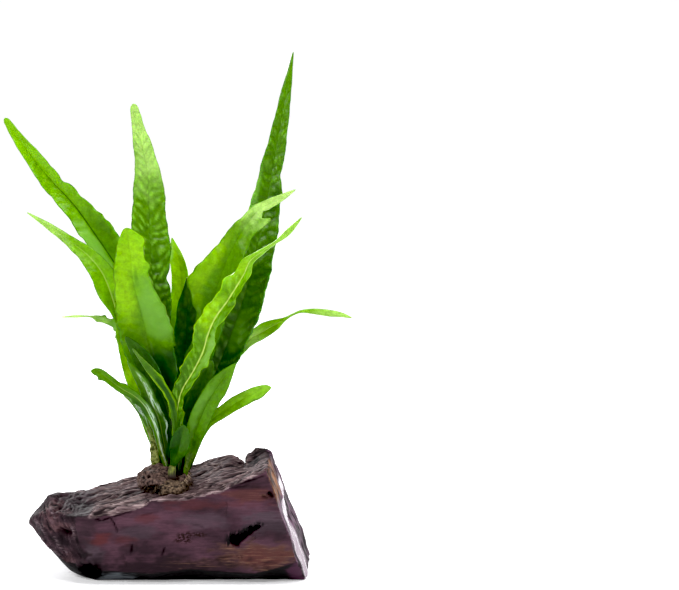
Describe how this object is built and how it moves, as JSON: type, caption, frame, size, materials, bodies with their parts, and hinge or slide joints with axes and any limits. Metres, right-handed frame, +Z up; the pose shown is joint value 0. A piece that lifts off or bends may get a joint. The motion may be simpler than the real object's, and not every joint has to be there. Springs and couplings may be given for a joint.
{
  "type": "java fern on driftwood",
  "caption": "Aquarium fern with long, wavy, pointed fronds that rise from a creeping rhizome rooted on a block of dark driftwood; it stands on the wood's flat underside.",
  "frame": {"origin": "middle of the driftwood's flat underside", "axes": "+Z up along the fronds, +X to the right along the driftwood's grain, -Y towards the smooth front face"},
  "size_m": [0.1774, 0.0868, 0.2611],
  "materials": {
    "driftwood": "dark purple-brown, smooth sawn front, weathered grey-brown furrowed top",
    "rhizome_bark": "rough brown bark-like skin",
    "dry_roots": "dull brown root fibres",
    "old_stalk": "dull olive",
    "young_leaf": "satin, bright yellow-green, translucent",
    "grown_leaf": "satin, mid green, quilted",
    "old_leaf": "glossy, dark green"
  },
  "bodies": {
    "root": {"driftwood": "driftwood", "rhizome": "rhizome_bark", "root_mat": "dry_roots", "stalk_stub": "old_stalk", "left_tall": "grown_leaf", "centre_tall": "grown_leaf", "front_broad": "young_leaf", "left_low": "young_leaf", "left_wisp": "young_leaf", "left_curl": "grown_leaf", "left_sliver": "grown_leaf", "left_glossy": "old_leaf", "front_dark": "old_leaf", "front_wavy": "young_leaf", "centre_dark": "old_leaf", "back_yellow": "young_leaf", "right_tall": "grown_leaf", "right_broad": "young_leaf", "front_yellow": "young_leaf", "right_pinched": "young_leaf", "right_low": "young_leaf", "right_medium": "grown_leaf", "front_oval": "old_leaf", "right_inner": "old_leaf"}
  },
  "joints": []
}
